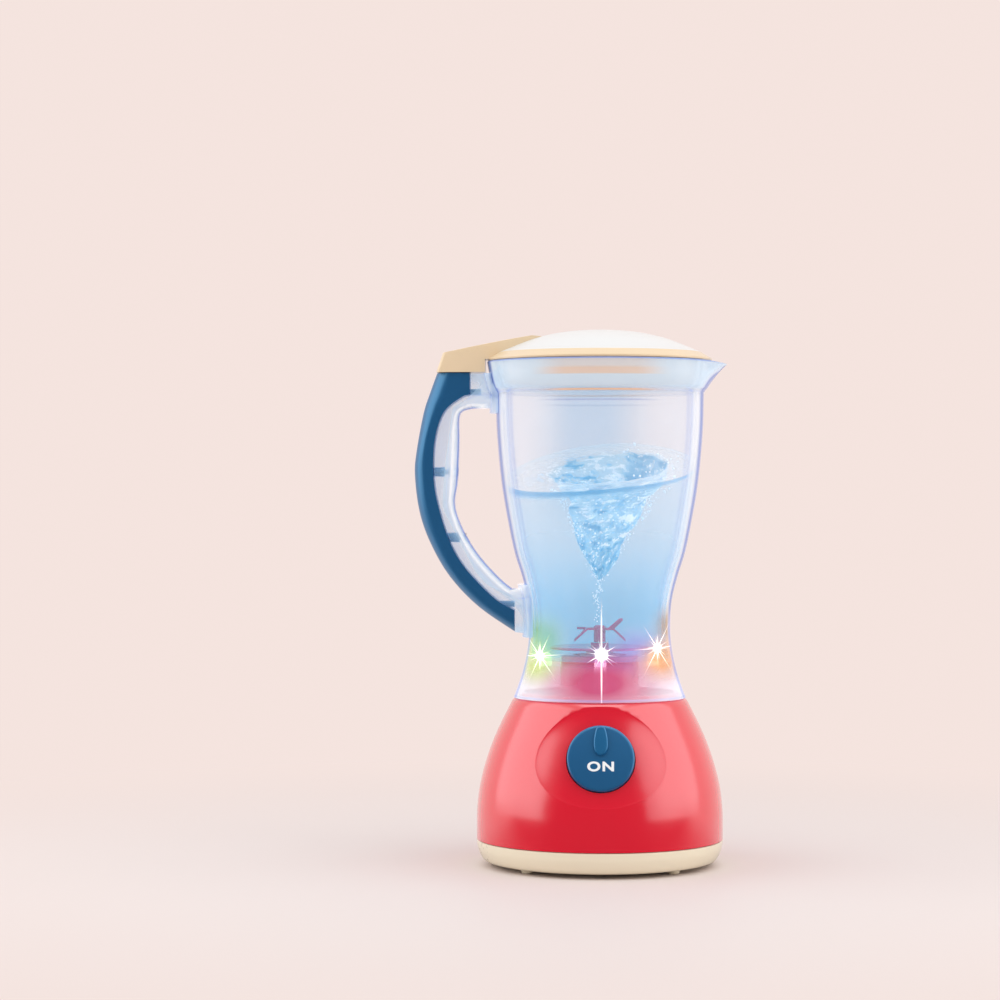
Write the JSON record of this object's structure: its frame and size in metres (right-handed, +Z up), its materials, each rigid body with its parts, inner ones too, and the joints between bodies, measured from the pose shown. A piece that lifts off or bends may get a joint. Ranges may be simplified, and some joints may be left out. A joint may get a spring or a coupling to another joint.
{
  "type": "toy blender",
  "caption": "Toy blender: clear hourglass jar with moulded handle and spout, domed cream lid, round red base with a sprung front button, and a bladed spindle driven by a dog clutch.",
  "frame": {"origin": "centre of the footprint box of the whole toy, on the surface it stands on", "axes": "+Z up, +X towards the pouring spout, -X towards the handle, -Y towards the button"},
  "size_m": [0.158, 0.1242, 0.27],
  "materials": {
    "red_plastic": "glossy moulded",
    "cream_plastic": "satin gloss moulded",
    "navy_plastic": "satin gloss moulded",
    "clear_plastic": "polished, clear",
    "crimson_plastic": "glossy moulded",
    "white_plastic": "matte moulded",
    "dark_plastic": "matte moulded",
    "green_board": "lacquered board",
    "screw_steel": "zinc plated",
    "contact_metal": "nickel plated",
    "motor_can": "plain metal",
    "cell_jacket": "printed sleeve, left bare"
  },
  "bodies": {
    "base": {"base_shell": "red_plastic", "base_cover": "cream_plastic", "battery_door": "cream_plastic", "battery_door_screw": "screw_steel", "cover_screw_1": "screw_steel", "cover_screw_2": "screw_steel", "cover_screw_3": "screw_steel", "cover_screw_4": "screw_steel", "battery_cell_1": "cell_jacket", "battery_cell_2": "cell_jacket", "battery_cell_3": "cell_jacket", "contact_strip_left": "contact_metal", "contact_strip_right": "contact_metal", "switch_body": "dark_plastic", "control_board": "green_board", "board_screw_left": "screw_steel", "board_screw_right": "screw_steel", "light_board": "green_board", "light_pipe_front": "clear_plastic", "light_pipe_right": "clear_plastic", "light_pipe_left": "clear_plastic", "led_front": "white_plastic", "led_right": "white_plastic", "led_left": "white_plastic", "motor": "motor_can", "motor_holder": "white_plastic", "holder_screw_1": "screw_steel", "holder_screw_2": "screw_steel", "holder_screw_3": "screw_steel"},
    "button": {"button": "navy_plastic", "switch_plunger": "white_plastic"},
    "drive": {"motor_shaft": "screw_steel", "drive_coupler": "white_plastic"},
    "jar": {"jar_shell": "clear_plastic", "blade_carrier": "crimson_plastic", "carrier_nut": "white_plastic", "handle_frame": "clear_plastic", "handle_grip": "navy_plastic", "grip_screw_upper": "screw_steel", "grip_screw_lower": "screw_steel"},
    "blade": {"blade": "crimson_plastic", "blade_shaft": "screw_steel", "driven_coupler": "white_plastic"},
    "lid": {"lid": "cream_plastic"}
  },
  "joints": [
    {"name": "button_press", "type": "slide", "parent": "base", "child": "button", "axis": [0, 0.9455, -0.3256], "range_m": [0, 0.0025], "stiffness_N_per_m": 400, "springref_m": -0.002},
    {"name": "drive_spin", "type": "hinge", "parent": "base", "child": "drive", "pos_m": [0.0145, 0, 0.095], "axis": [0, 0, 1], "continuous": true},
    {"name": "jar_lift", "type": "slide", "parent": "base", "child": "jar", "axis": [0, 0, 1], "range_m": [0, 0.06]},
    {"name": "blade_spin", "type": "hinge", "parent": "jar", "child": "blade", "pos_m": [0.0145, 0, 0.118], "axis": [0, 0, 1], "continuous": true},
    {"name": "lid_lift", "type": "slide", "parent": "jar", "child": "lid", "axis": [0, 0, 1], "range_m": [0, 0.03]}
  ],
  "couplings": [
    {"joint": "blade_spin", "follows": "drive_spin", "ratio": 1}
  ]
}
